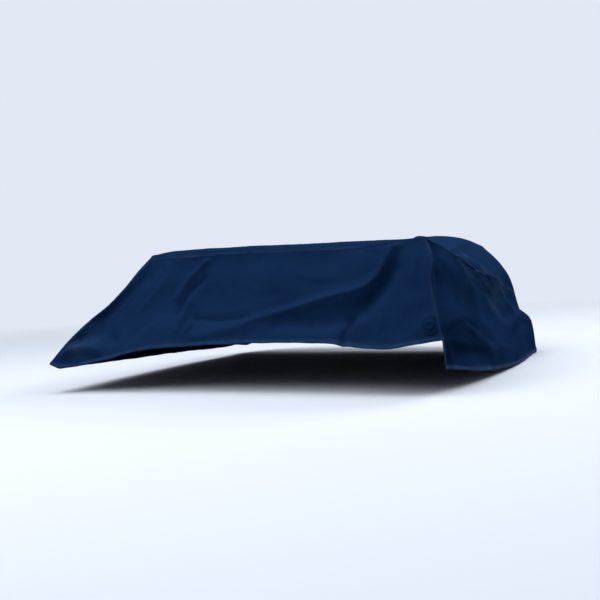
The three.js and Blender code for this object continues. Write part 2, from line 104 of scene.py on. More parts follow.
# The main folds, as in the solids: height, width and path on each face.
FOLDS = {}
FOLDS["windscreen"] = [
    (8, 19, (-246, -278), (-92, -247), (22, -216), (70, -205)),
    (15, 22, (104, -198), (206, -171), (293, -152), (340, -134), (367, -106), (384, -74),
     (394, -44), (404, -12)),
    (-9, 24, (50, -240), (130, -236)),
    (-17, 26, (172, -236), (290, -228), (340, -198), (370, -162), (396, -122), (412, -82)),
    (-8, 16, (-75, -214), (-123, -223), (-173, -224), (-224, -220), (-267, -217)),
    (9, 46, (474, -70), (492, -180)),
    (8, 16, (-279, -30), (-302, -54), (-325, -82), (-347, -120), (-363, -149)),
    (-6, 14, (-271, -87), (-294, -107), (-315, -134), (-327, -160), (-342, -193)),
    (5, 14, (-307, -164), (-313, -190), (-321, -219), (-325, -254)),
    (-8, 14, (297, -228), (287, -262), (283, -304)),
    (8, 34, (550, -252), (556, -252)),
    (11, 22, (-744, -318), (-700, -308), (-620, -322)),
    (-10, 24, (-700, -276), (-640, -258), (-576, -276)),
    (-9, 30, (-524, -84), (-592, -168), (-644, -214)),
    (8, 50, (-440, -80), (-500, -200)),
]
FOLDS["left"] = [
    (-10, 24, (-140, -282), (-60, -268), (64, -260), (190, -264), (262, -296), (320, -340)),
    (-10, 30, (-96, -318), (10, -304), (120, -304), (206, -314), (276, -346)),
    (-15, 46, (52, -34), (26, -90), (6, -150), (-40, -206), (-96, -246)),
    (6, 50, (300, -90), (350, -130), (340, -190)),
    (12, 28, (380, -30), (540, -84), (660, -170), (720, -262)),
    (-10, 34, (330, -110), (500, -170), (620, -260)),
    (-15, 38, (-60, -360), (80, -364), (190, -384)),
    (9, 26, (560, -330), (760, -300), (960, -330)),
]
FOLDS["right"] = [
    (-15, 50, (60, -90), (110, -170), (150, -250)),
    (15, 30, (110, -64), (280, -138), (470, -224), (700, -320)),
    (-8, 34, (200, -216), (380, -270), (560, -340)),
    (11, 26, (-60, -296), (90, -308), (260, -334), (460, -370)),
    (9, 30, (640, -250), (780, -284), (930, -330)),
]
FOLDS["top"] = [
    (16, 36, (170, 820), (40, 670), (-120, 470), (-300, 250), (-440, 90)),
    (-13, 52, (-60, 780), (-260, 520), (-420, 300)),
    (13, 30, (250, 800), (226, 600), (180, 400), (90, 180)),
    (-8, 34, (334, 740), (330, 520), (250, 260)),
    (12, 30, (430, 780), (444, 600), (430, 400), (396, 230)),
    (14, 40, (40, 900), (-120, 826), (-280, 772), (-430, 730)),
    (10, 28, (-470, 80), (-494, 240), (-474, 430)),
    (8, 24, (470, 70), (506, 220), (540, 420)),
]
FOLDS["rear"] = [
    (15, 26, (470, -40), (520, -150), (548, -240), (560, -330)),
    (15, 30, (170, -30), (128, -120), (104, -210), (90, -290)),
    (-10, 46, (320, -60), (326, -160), (316, -260)),
    (10, 30, (-120, -176), (-190, -240), (-240, -300)),
    (-7, 40, (-330, -214), (-390, -300)),
]

# Finer creases: height, width, lean and path. A crease with lean is
# steeper on the right of its path as it runs (negative: on the left).
CREASES = {}
CREASES["windscreen"] = [
    # along the long drag fold, and where it turns up to the rail
    (1.6, 6, 0.5, (-236, -268), (-222, -250), (-186, -242), (-145, -234), (-94, -222)),
    (2.4, 8, 0.5, (-100, -246), (-30, -230), (60, -206), (110, -196)),
    (3.6, 8, 0.5, (110, -196), (206, -171), (300, -150), (344, -132)),
    (-4, 13, 0, (180, -216), (226, -210), (300, -198), (350, -172), (382, -130), (404, -84)),
    (5, 8, 0.6, (332, -140), (364, -110), (383, -76), (393, -46), (404, -12)),
    (-2.6, 9, 0, (296, -22), (334, -26), (360, -40)),
    (2.4, 9, 0.3, (408, -170), (428, -120), (446, -60)),
    (-2, 9, 0, (440, -140), (458, -86), (472, -44)),
    # fanning from the left end of the rail
    (2.6, 10, 0.3, (486, -20), (474, -90), (468, -160), (474, -228)),
    (-2.4, 10, 0, (500, -40), (504, -110), (514, -176)),
    (2.2, 9, 0.2, (524, -70), (536, -130), (556, -190)),
    (-2.4, 9, 0, (452, -190), (462, -240), (456, -292)),
    (2.2, 10, -0.3, (404, -206), (398, -254), (388, -298)),
    (-6.5, 8, 0.3, (299, -226), (288, -262), (284, -304)),
    (2.8, 8, 0.3, (314, -234), (306, -270), (303, -302)),
    # the middle, where the cloth is nearly smooth
    (-2.4, 10, 0, (-60, -244), (40, -222), (150, -204), (230, -190)),
    (2, 11, 0.2, (120, -222), (180, -246), (216, -284)),
    (1.6, 10, 0.2, (60, -76), (130, -98), (220, -100)),
    (-1.5, 10, 0, (90, -104), (170, -122), (262, -112)),
    (-1.6, 11, 0, (-140, -132), (-40, -150), (60, -146)),
    # the dip above the start of the drag fold
    (-2.4, 8, 0, (-75, -212), (-123, -221), (-173, -222), (-224, -218), (-267, -215)),
    (-1.4, 12, 0, (-60, -208), (20, -186), (100, -164), (150, -152)),
    # the slanting folds near the right end of the rail
    (2.5, 8, 0.3, (-268, -18), (-302, -54), (-325, -82), (-347, -120), (-363, -149)),
    (-2, 8, 0, (-271, -87), (-294, -107), (-315, -134), (-327, -160), (-342, -193)),
    (2.2, 6, 0, (-307, -164), (-313, -190), (-321, -219), (-325, -254)),
    (2.2, 6, 0, (-273, -210), (-284, -242), (-299, -271)),
    (-2.4, 5, 0, (-294, -210), (-305, -238), (-311, -267)),
    (-3, 6, 0, (-262, -210), (-255, -233), (-267, -251), (-285, -267)),
    (2, 9, 0.3, (-400, -30), (-430, -86), (-470, -150), (-520, -210)),
    (-1.8, 10, 0, (-430, -44), (-464, -104), (-504, -164)),
    (-1.4, 12, 0, (-530, -80), (-580, -150), (-640, -206), (-690, -256)),
    (2.2, 9, 0.2, (-500, -70), (-548, -130), (-604, -196), (-650, -232)),
    (1.8, 9, 0.2, (-380, -206), (-436, -250), (-480, -306)),
    (-1.8, 9, 0, (-430, -212), (-482, -258), (-516, -312)),
    # the right foot
    (3, 9, 0.5, (-744, -326), (-706, -308), (-654, -308), (-600, -324)),
    (-2.6, 8, 0, (-720, -340), (-676, -330), (-620, -338)),
    (2, 8, 0.2, (-560, -220), (-548, -266), (-556, -318)),
]
CREASES["left"] = [
    # over the arch where the cloth meets the door, and the lighter swell below it
    (4, 10, -0.4, (-130, -268), (-40, -252), (64, -246), (186, -250), (262, -282), (310, -326)),
    (-5, 9, 0, (-130, -288), (-20, -270), (104, -266), (210, -272), (262, -302)),
    (-3, 12, 0, (-60, -352), (40, -352), (150, -366)),
    (1.8, 9, 0.2, (-140, -214), (-60, -200), (30, -204)),
    # hanging from the corner of the rail
    (-3.6, 10, 0, (46, -30), (24, -96), (2, -156), (-44, -208)),
    (2, 9, 0.2, (96, -50), (92, -120), (60, -190)),
    (1.4, 12, 0.2, (280, -80), (330, -130), (326, -190), (290, -232)),
    (-2, 10, 0, (260, -90), (296, -150), (290, -214)),
    # light lines on the shoulder of the hoop, along the side seam
    (3.4, 8, 0.5, (330, -50), (450, -76), (560, -128), (640, -200)),
    (-1.4, 8, 0, (350, -74), (440, -98), (500, -118)),
    (2.8, 8, 0.4, (380, -100), (480, -130), (570, -190), (620, -256)),
    (-1.8, 8, 0, (390, -132), (480, -176), (540, -226)),
    (2, 9, 0.2, (440, -180), (530, -220), (590, -268)),
    (2.2, 9, 0.2, (700, -120), (760, -190), (790, -260)),
    (-2.2, 9, 0, (740, -120), (800, -190), (830, -262)),
    # the haunch
    (2.8, 9, 0.3, (600, -332), (720, -304), (860, -300), (970, -330)),
    (-2.4, 9, 0, (600, -356), (740, -332), (880, -330)),
    (1.8, 9, 0.2, (430, -300), (520, -346), (640, -390)),
    (-1.8, 9, 0, (380, -330), (480, -372), (590, -410)),
    (1.8, 9, 0.2, (700, -360), (820, -372), (940, -362)),
]
CREASES["right"] = [
    (3, 10, 0.3, (20, -40), (60, -110), (130, -190), (220, -260)),
    (-2.6, 10, 0, (60, -40), (110, -110), (190, -190)),
    (3, 10, 0.3, (120, -80), (280, -150), (460, -222), (640, -300)),
    (-2.6, 10, 0, (160, -120), (320, -190), (480, -258)),
    (2.4, 10, 0.2, (-60, -230), (60, -250), (200, -300), (360, -346)),
    (-2.2, 9, 0, (-100, -270), (40, -296), (180, -338)),
    (2.4, 10, 0.2, (420, -190), (560, -250), (720, -300), (880, -340)),
    (2, 10, 0.2, (640, -230), (760, -270), (900, -290)),
    (-2, 10, 0, (560, -330), (700, -356), (860, -372)),
    (2, 9, 0.2, (-180, -250), (-140, -300), (-60, -340)),
]
CREASES["top"] = [
    # drawn from the hoop's foot to the right end of the rail
    (4, 12, 0.5, (150, 800), (20, 640), (-140, 460), (-310, 240), (-450, 60)),
    (-3.6, 11, 0, (110, 810), (-30, 650), (-190, 470), (-360, 250)),
    (3, 11, 0.4, (90, 700), (-60, 500), (-200, 310), (-330, 110)),
    (-2.6, 10, 0, (130, 660), (0, 480), (-120, 310), (-220, 120)),
    (2.8, 12, 0.3, (60, 860), (-120, 740), (-300, 560), (-440, 380), (-520, 220)),
    # from the hoop to the rail
    (3.4, 11, 0.4, (240, 770), (224, 600), (180, 400), (110, 220), (40, 70)),
    (-3, 10, 0, (210, 760), (190, 590), (140, 400), (70, 230)),
    (3, 11, -0.3, (330, 770), (330, 600), (300, 420), (250, 240), (220, 80)),
    (-2.4, 10, 0, (300, 760), (296, 600), (262, 430), (210, 250)),
    (3, 11, 0.3, (420, 770), (440, 610), (430, 430), (400, 250), (380, 80)),
    (-2.6, 10, 0, (390, 750), (404, 600), (392, 430), (360, 260)),
    (2.4, 10, 0.3, (500, 720), (520, 560), (512, 380), (490, 200)),
    (4, 11, 0.4, (420, 640), (475, 586), (519, 545), (551, 546), (572, 570)),
    # behind the rail, across the cover
    (2.2, 10, 0.3, (-430, 60), (-300, 84), (-160, 78), (-20, 92)),
    (-2, 10, 0, (-400, 88), (-260, 112), (-120, 106)),
    (2, 10, 0.2, (60, 60), (190, 84), (330, 70), (450, 82)),
    # the passenger's side
    (3, 12, 0.3, (20, 900), (-130, 834), (-290, 780), (-450, 740)),
    (-2.8, 11, 0, (0, 860), (-150, 796), (-310, 736), (-450, 690)),
    (2.6, 12, 0.2, (-500, 620), (-420, 480), (-400, 340), (-440, 180)),
    (-2.2, 11, 0, (-540, 560), (-470, 420), (-460, 280)),
    (2.2, 11, 0.2, (-60, 960), (-220, 930), (-400, 880), (-520, 840)),
    (2.4, 10, 0.3, (560, 880), (572, 760), (566, 620), (556, 480)),
]
CREASES["rear"] = [
    (3.4, 11, 0.4, (450, -20), (500, -110), (530, -220), (548, -330)),
    (-3, 10, 0, (420, -30), (462, -120), (486, -230), (496, -320)),
    (2.6, 11, -0.3, (370, 0), (390, -100), (396, -210), (400, -300)),
    (2.2, 11, 0.2, (270, 6), (262, -100), (256, -220), (262, -296)),
    (3.4, 11, 0.4, (180, -16), (136, -110), (104, -210), (84, -292)),
    (-3, 10, 0, (214, -16), (184, -110), (158, -210), (150, -290)),
    (2.6, 11, 0.3, (90, -70), (30, -150), (-20, -230), (-40, -290)),
    (2.4, 12, 0.2, (-80, -150), (-130, -210), (-160, -280)),
    (2.4, 12, 0.2, (-240, -186), (-280, -240), (-300, -300)),
    (-2.2, 11, 0, (-330, -200), (-370, -260), (-390, -306)),
    (2.4, 12, 0.2, (-440, -230), (-480, -280), (-500, -330)),
    (2, 12, 0.2, (-560, -270), (-590, -320), (-610, -370)),
]
FADE = 24  # folds die out over this length before the windscreen panel's seams

LAP = 10  # width of a lapped seam
LAP_RISE = 1.3  # how far the upper panel stands over the lower
LAP_DRAWN_IN = 0.55  # and how far its stitches draw it in
ROWS_ON_LAP = (2.6, 7.6)  # the two rows of stitches, from the seam
CLOTH_THICKNESS = 1.4
WEAR_REACH = 26  # how far wear reaches from laps and hems
TAPE_IN, TAPE_OUT, TAPE_HALF = 4.2, 9.0, 1.7  # the binding, on and beyond the hem
TAPE_PITCH = 3.2  # from one section of the binding to the next
PATCH_AT, PATCH_RADIUS = (556, -252), 28
PATCH_SIDE, PATCH_SIDE_TURN = 19, math.radians(20)  # cut straight beside the corner seam
PATCH_RING = 10.0  # radius of the raised ring round its middle
PATCH_SEAM, PATCH_RISE = 0.86, 2.0  # its stitches, as a share of the radius, and its height

# Where the cloth is painted lighter (above 0: painted highlights) or darker (below 0:
# painted shade) than its own colour: strength, width and points, in millimetres.
PAINTED_LIGHT_AND_SHADE = [
    # painted highlights: light streaks along the side seam on the hoop's shoulder
    (0.6, 17, (478, 606, -50), (500, 580, -64), (522, 566, -78), (545, 556, -100),
     (562, 556, -120)),
    (0.3, 20, (562, 556, -120), (576, 590, -146), (586, 634, -177)),
    (0.3, 16, (486, 607, -55), (526, 598, -83), (557, 627, -111), (574, 663, -136)),
    (0.4, 12, (539, 269, -66), (551, 328, -94), (566, 439, -134), (578, 544, -164)),
    (0.4, 50, (586, 720, -170), (600, 640, -210), (606, 560, -235)),
    # painted shade below the arch of the left side
    (-0.8, 32, (594, -150, -276), (598, -39, -274), (600, 89, -276), (612, 170, -300)),
    (-0.7, 34, (604, -150, -330), (622, 0, -326), (630, 120, -336), (640, 240, -350)),
    (0.5, 30, (-660, -190, -262), (-700, -220, -292)),
]

NAVY = (0.0051, 0.0202, 0.0640)
SKY_SHEEN_NAVY = (0.015, 0.038, 0.090)  # painted sky sheen, where the cloth faces up
WORN_NAVY = (0.044, 0.079, 0.147)  # along laps and hems
# the colour of the painted highlights
PAINTED_HIGHLIGHT_NAVY = (0.031, 0.067, 0.131)
DUST = (0.026, 0.051, 0.102)
TAPE_NAVY = (0.0102, 0.0346, 0.0973)
THREAD_NAVY = (0.0102, 0.0333, 0.0922)

CAMERA_AT = (1.271, -2.7225, -0.0441)
CAMERA_YAW, CAMERA_PITCH, CAMERA_ROLL = 23.92, -2.45, 2.885
LENS = 53.3


# ---- Curves ----


def spline(points, at):
    """Centripetal Catmull-Rom through points (k, ..., 3), at the parameters at, 0 to k - 1."""
    points = np.asarray(points, float)
    last = len(points) - 1
    if last == 1:
        share = np.asarray(at, float).reshape((-1,) + (1,) * (points.ndim - 1))
        return points[0] + (points[1] - points[0]) * share
    at = np.clip(np.asarray(at, float), 0, last - 1e-9)
    k = at.astype(int)
    w = (at - k).reshape((-1,) + (1,) * (points.ndim - 1))
    padded = np.concatenate([[2 * points[0] - points[1]], points, [2 * points[-1] - points[-2]]])
    p0, p1, p2, p3 = (padded[k + m] for m in range(4))

    def gap(a, b):
        return np.maximum(((a - b) ** 2).sum(-1, keepdims=True) ** 0.25, 1e-4)

    d0, d1, d2 = gap(p0, p1), gap(p1, p2), gap(p2, p3)
    t1 = ((p1 - p0) / d0 - (p2 - p0) / (d0 + d1) + (p2 - p1) / d1) * d1
    t2 = ((p2 - p1) / d1 - (p3 - p1) / (d1 + d2) + (p3 - p2) / d2) * d1
    return (p1 + t1 * w + (-3 * p1 + 3 * p2 - 2 * t1 - t2) * w**2
            + (2 * p1 - 2 * p2 + t1 + t2) * w**3)


def unit(vectors):
    """Vectors brought to length 1."""
    return vectors / np.maximum(np.linalg.norm(vectors, axis=-1, keepdims=True), 1e-9)


def run_length(points):
    """Length along a row of points, from the first."""
    steps = np.linalg.norm(np.diff(points, axis=0), axis=-1)
    return np.concatenate([np.zeros((1,) + steps.shape[1:]), np.cumsum(steps, axis=0)])


def line(rows, shares):
    """Points at shares of the length of the smooth line through the rows."""
    fine = spline(rows, np.linspace(0, len(rows) - 1, 200 * (len(rows) - 1) + 1))
    length = run_length(fine)
    wanted = np.asarray(shares) * length[-1]
    return np.stack([np.interp(wanted, length, fine[:, k]) for k in range(3)], axis=1)


def step(value, low, high):
    """0 below low, 1 above high, smooth between."""
    t = np.clip((value - low) / (high - low), 0, 1)
    return t * t * (3 - 2 * t)


def graded(length, coarse, fine_start=True, fine_end=True):
    """Shares of a length: close together next to a seam or hem, coarse elsewhere."""
    edge = np.array([0, 1.4, 2.8, 4.2, 5.6, 7.0, 8.4, 9.8, 11.2, 13.4, 16.6, 21.0])
    first = edge if fine_start else np.array([0.0])
    last = length - edge[::-1] if fine_end else np.array([length])
    middle = np.linspace(first[-1], last[0], max(2, round((last[0] - first[-1]) / coarse) + 1))
    return np.concatenate([first[:-1], middle, last[1:]]) / length


# ---- The cloth's middle surface ----


def section(places, lines):
    """Points at places across the cover, on lines that each span some units."""
    out = np.zeros((len(places), 3))
    start = 0
    for rows, units in lines:
        on = (places >= start - 1e-9) & (places <= start + units + 1e-9)
        out[on] = line(rows, (places[on] - start) / units)
        start += units
    return out


def front(places):
    return section(places, [
        (LEFT_FLAP_EDGE, FLAP), (LEFT_CORNER_SEAM, SEAM), (FRONT_TOP_SEAM, ACROSS),
        (RIGHT_CORNER_SEAM, SEAM), (RIGHT_FLAP_EDGE, FLAP),
    ])


def body_grid(places, stations):
    """The cloth behind the front seams, as [place][station]."""
    first = front(places)
    # 1 on the top panel, falling to 0 at either hem
    up = np.minimum(1, np.minimum(places / LEFT, (WHOLE - places) / LEFT))
    on_top = (places >= LEFT) & (places <= RIGHT)

    rail = first.copy()
    rail[on_top] = line(RAIL, (places[on_top] - LEFT) / ACROSS)
    for off, end, place in (
        (places < LEFT, RAIL[0], LEFT), (places > RIGHT, RAIL[-1], RIGHT),
    ):
        shift = np.array(end, float) - front(np.array([place]))[0]
        rail[off, 0] += shift[0]
        rail[off, 1] += SIDE_ROLL + (shift[1] - SIDE_ROLL) * up[off]
        rail[off, 2] += shift[2] * up[off]

    def across(rows):
        return [(x, HOOP_Y, z) for x, z in rows]

    hoop = section(places, [
        (across(HOOP_LEFT_SIDE), LEFT), (across(HOOP_TOP), ACROSS),
        (across(HOOP_RIGHT_SIDE), LEFT),
    ])

    top = np.sin(math.pi * np.clip((places - LEFT) / ACROSS, 0, 1))

    def hanging(share):
        bow = 4 * share * (1 - share)
        out = first + (hoop - first) * share
        on_side = 1 - np.abs(2 * up - 1)
        outward = HEM_BULGE * (1 - step(up, 0, 0.5)) - SIDE_SAG * on_side
        drop = np.where(places < LEFT, LEFT_HEM_DROP * (1 - step(up, 0, 1)), 0)
        out[:, 0] += np.where(on_top, 0, np.sign(out[:, 0]) * outward * bow)
        out[:, 2] -= (TOP_SAG * top + drop) * bow
        return out

    roll = hoop.copy()
    roll[:, 1] += REAR_ROLL_HEM_BACK + (REAR_ROLL_BACK - REAR_ROLL_HEM_BACK) * up
    roll[:, 2] -= REAR_ROLL_DROP * up

    rear = section(places, [(REAR_LEFT_END, LEFT), (REAR_HEM, ACROSS), (REAR_RIGHT_END, LEFT)])
    sections = np.stack([first, rail, hanging(0.3), hanging(0.7), hoop, roll, rear])
    return spline(sections, stations).transpose(1, 0, 2)


def windscreen_grid(u, v):
    """The windscreen panel, stretched between its hem, the corner seams and the top seam."""
    hem, top = line(FRONT_HEM, u)[:, None], front(LEFT + ACROSS * u)[:, None]
    left = front(FLAP + SEAM * v)[None]
    right = front(WHOLE - FLAP - SEAM * v)[None]
    u, v = u[:, None, None], v[None, :, None]
    foot = hem[0] + (hem[-1] - hem[0]) * u
    head = top[0] + (top[-1] - top[0]) * u
    return (hem + (top - hem) * v) + (left + (right - left) * u) - (foot + (head - foot) * v)


def grid_normals(grid):
    """Outward unit normals of a grid."""
    return unit(np.cross(np.gradient(grid, axis=1), np.gradient(grid, axis=0)))


# ---- Folds and creases ----


def to_path(path, a, b):
    """Distance to a path, on which side it lies (+1 left as it runs), and the share along it."""
    path = np.asarray(path, float)
    lengths = run_length(path)
    best = np.full(a.shape, 1e9)
    side, along = np.ones(a.shape), np.zeros(a.shape)
    for k in range(len(path) - 1):
        (a0, b0), (a1, b1) = path[k], path[k + 1]
        da, db = a1 - a0, b1 - b0
        t = np.clip(((a - a0) * da + (b - b0) * db) / (da * da + db * db), 0, 1)
        away = np.hypot(a - a0 - t * da, b - b0 - t * db)
        nearer = away < best
        best = np.where(nearer, away, best)
        side = np.where(nearer, np.sign(da * (b - b0) - db * (a - a0)), side)
        reached = lengths[k] + t * (lengths[k + 1] - lengths[k])
        along = np.where(nearer, reached / lengths[-1], along)
    return best, side, along


def faces(points, normals):
    """The faces behind the front seams: their plane, and how much their folds count."""
    x, y, z = points[..., 0], points[..., 1], points[..., 2]
    return {
        "left": (y, z, step(x, 440, 500)),
        "right": (y, z, step(-x, 440, 500)),
        "top": (x, y, step(normals[..., 2], 0.3, 0.7)),
        "rear": (x, z, step(normals[..., 1], 0.2, 0.6)),
    }


def relief(planes):
    """How far the folds and creases lift the cloth."""
    total = 0
    for face, (a, b, share) in planes.items():
        lift = np.zeros(a.shape)
        for height, width, *path in FOLDS[face]:
            away, _, _ = to_path(path, a, b)
            lift += height * np.exp(-((away / width) ** 2))
        for height, width, lean, *path in CREASES[face]:
            smooth_path = spline(np.array(path, float), np.linspace(0, len(path) - 1, 14))
            away, side, along = to_path(smooth_path, a, b)
            # narrower and lower towards its ends
            own = width * (1 + lean * side) * (0.75 + 0.5 * np.sin(math.pi * along))
            taper = np.sin(math.pi * np.clip(along, 0.02, 0.98)) ** 0.6
            lift += height * taper * np.exp(-((away / own) ** 2))
        total = total + share * lift
    return total


def mottle(points, size, seed):
    """Smooth noise at points, about -1 to 1, in lumps of a size."""
    flat = points.reshape(-1, 3) / size + seed
    return np.array([noise.noise(Vector(p)) for p in flat]).reshape(points.shape[:-1])


def from_edge(grid, axis, end):
    """Length along the cloth from one edge of a grid."""
    moved = np.moveaxis(grid, axis, 0)
    moved = moved[::-1] if end else moved
    length = run_length(moved)
    return np.moveaxis(length[::-1] if end else length, 0, axis)


def edge_waves(grid, axis, end, size, depth, reach, seed):
    """Waves along an edge, square to it, that die out within reach."""
    moved = np.moveaxis(grid, axis, 0)
    waves = mottle(moved[-1 if end else 0], size, seed)
    waves = np.expand_dims(waves, axis)
    return depth * waves * np.exp(-((from_edge(grid, axis, end) / reach) ** 1.5))


def lapped(distance):
    """Height of a lapped edge over its seam, drawn in along its rows of stitches."""
    drawn_in = sum(np.exp(-(((distance - row) / 1.3) ** 2)) for row in ROWS_ON_LAP)
    return LAP_RISE * (1 - step(distance, LAP - 1.2, LAP + 1.6)) - LAP_DRAWN_IN * drawn_in


SMALL_WAVES = ((150, 3.0, 3.7), (62, 1.1, 11.3), (27, 0.35, 6.1))  # (size, height, seed)

# Small drag wrinkles that run away from where the cloth is held up: (centre, height,
# how many, reach, seed) on each face.
DRAWN = {
    "windscreen": [((506, 30), 1.5, 7.0, 330, 2.2), ((-520, 20), 1.5, 6.0, 330, 8.4)],
    "left": [((20, 20), 1.6, 4.5, 300, 3.3), ((700, 40), 2.0, 5.5, 420, 5.9)],
    "right": [((20, 10), 1.8, 4.5, 360, 9.1), ((860, -190), 1.6, 4.0, 330, 1.4)],
    "top": [
        ((330, 850), 2.4, 5.0, 560, 4.7), ((-530, 0), 1.8, 5.0, 420, 7.2),
        ((520, 0), 1.6, 5.0, 380, 6.6),
    ],
    "rear": [((375, 60), 2.2, 4.5, 460, 2.8)],
}


def drawn(planes):
    """How far the drag wrinkles lift the cloth."""
    total = 0
    for face, (a, b, share) in planes.items():
        for (a0, b0), height, many, reach, seed in DRAWN[face]:
            away, turn = np.hypot(a - a0, b - b0), np.arctan2(b - b0, a - a0)
            where = np.stack([np.cos(turn) * many, np.sin(turn) * many, away / 260], axis=-1)
            fade = step(away, 14, 110) * (1 - step(away, 0.3 * reach, reach))
            total = total + share * height * fade * mottle(where, 1.0, seed)
    return total


# ---- The two grids, lifted by their folds ----

# Length of each run of the cloth, and of its coarser cells.
SIDE_RUN, TOP_RUN = (400, 6.4), (1130, 7.2)
SEAM_TO_RAIL, ROLL_TO_HEM = (34, 4), (330, 6.6)
EVEN_CELLS = (36, 50, 37, 9)  # how many between the sections from the rail to the roll
WINDSCREEN_WIDTH, WINDSCREEN_HEIGHT = (1250, 5.4), (345, 4.6)

side_places = LEFT * graded(*SIDE_RUN)
top_places = LEFT + ACROSS * graded(*TOP_RUN)
places = np.concatenate([side_places, top_places[1:], WHOLE - side_places[::-1][1:]])
left_column, right_column = len(side_places) - 1, len(side_places) + len(top_places) - 2
stations = np.concatenate([
    graded(*SEAM_TO_RAIL, fine_end=False)[:-1],
    *(k + np.arange(cells) / cells for k, cells in enumerate(EVEN_CELLS, 1)),
    5 + graded(*ROLL_TO_HEM, fine_start=False),
])
u_shares, v_shares = graded(*WINDSCREEN_WIDTH), graded(*WINDSCREEN_HEIGHT)
ALLOWANCE = 7  # rows of cells by which a panel runs on under its neighbour

# The edges of a grid: (axis, whether at its end).
FRONT_EDGE, REAR_EDGE, FIRST_EDGE, LAST_EDGE = (1, False), (1, True), (0, False), (0, True)
# Waves along edges: (axis, end, size, depth, reach, seed), and for the windscreen panel
# the length over which they die out at its seams.
BODY_WAVES = [
    (0, False, 46, 2.0, 34, 5.1), (0, True, 46, 2.4, 36, 7.7), (1, True, 40, 3.6, 60, 2.9),
]
WINDSCREEN_WAVES = [((1, False, 42, 2.4, 40, 9.2), FADE), ((1, True, 15, 0.6, 14, 4.4), 4)]
PUCKER_SIZE, PUCKER_HEIGHT = 13, 0.55  # beside the side seams


def lifted_by(grid, planes, from_seams):
    """How far all folds, creases and waves lift the cloth. They die out at its seams."""
    waves = sum(height * mottle(grid, size, seed) for size, height, seed in SMALL_WAVES)
    return (relief(planes) + drawn(planes) + waves) * step(from_seams, 0, FADE)


def body_lift(grid, out):
    return lifted_by(grid, faces(grid, out), grid[..., 1] - grid[:, :1, 1])


def windscreen_lift(grid, to_seams):
    return lifted_by(grid, {"windscreen": (grid[..., 0], grid[..., 2], 1)}, to_seams)


body = body_grid(places, stations)
body_out = grid_normals(body)
behind_seam = body[..., 1] - body[:, :1, 1]
lift = body_lift(body, body_out)
for wave in BODY_WAVES:
    lift += edge_waves(body, *wave)
from_left = from_edge(body, 0, False)
for column in (left_column, right_column):
    puckers = PUCKER_HEIGHT * mottle(body[column], PUCKER_SIZE, column)
    away = np.abs(from_left - from_left[column])
    lift += puckers * np.exp(-((away / PUCKER_SIZE) ** 2)) * step(behind_seam, 0, FADE)
body = body + body_out * lift[..., None]

windscreen = windscreen_grid(u_shares, v_shares)
windscreen_out = grid_normals(windscreen)
to_seams = np.minimum.reduce(
    [from_edge(windscreen, *edge) for edge in (FIRST_EDGE, LAST_EDGE, REAR_EDGE)])
lift = windscreen_lift(windscreen, to_seams)
for wave, fade in WINDSCREEN_WAVES:
    lift += edge_waves(windscreen, *wave) * step(to_seams, 0, fade)
windscreen = windscreen + windscreen_out * lift[..., None]

# The seam allowances, on which the lapped edges lie.
under_top = body_grid(LEFT + ACROSS * u_shares, stations[:ALLOWANCE])
out = grid_normals(under_top)
under_top = under_top + out * body_lift(under_top, out)[..., None]
flap = np.searchsorted(side_places, FLAP)
beside_corners = windscreen_grid(u_shares, (side_places[flap:] - FLAP) / SEAM)
under_corners = []
for columns, right in ((slice(ALLOWANCE), False), (slice(-ALLOWANCE, None), True)):
    strip, out = beside_corners[columns], grid_normals(beside_corners)[columns]
    to_seams = np.minimum(from_edge(strip, 0, right), from_edge(strip, 1, True))
    strip = strip + out * windscreen_lift(strip, to_seams)[..., None]
    under_corners.append(strip.transpose(1, 0, 2))


# ---- Meshes ----


def new_object(name, vertices, polygons, material, scale=MM):
    mesh = bpy.data.meshes.new(name)
    mesh.from_pydata((np.asarray(vertices) * scale).tolist(), [], polygons)
    mesh.polygons.foreach_set("use_smooth", [True] * len(mesh.polygons))
    mesh.update()
    mesh.materials.append(material)
    obj = bpy.data.objects.new(name, mesh)
    bpy.context.collection.objects.link(obj)
    return obj


def add_attribute(obj, name, kind, values):
    layer = obj.data.attributes.new(name, kind, "POINT")
    layer.data.foreach_set("vector" if kind == "FLOAT_VECTOR" else "value", np.ravel(values))


def painted_light_and_shade(points):
    """How much painted highlight (above 0) or painted shade (below 0) lies on the cloth at
    points, from the table of painted light and shade.
    """
    share = np.zeros(points.shape[:-1])
    for strength, width, *path in PAINTED_LIGHT_AND_SHADE:
        away = np.full(points.shape[:-1], np.inf)
        for start, end in zip(path, path[1:]):
            start, run = np.array(start), np.subtract(end, start)
            along = np.clip((points - start) @ run / (run @ run), 0, 1)
            off = points - start - along[..., None] * run
            away = np.minimum(away, np.linalg.norm(off, axis=-1))
        share += strength * np.exp(-(away / width) ** 2)
    return np.clip(share, -1, 1)


def thickened(obj):
    """Gives a surface the cloth's thickness, half to each side."""
    solidify = obj.modifiers.new("thickness", "SOLIDIFY")
    solidify.thickness = CLOTH_THICKNESS * MM
    solidify.offset = 0


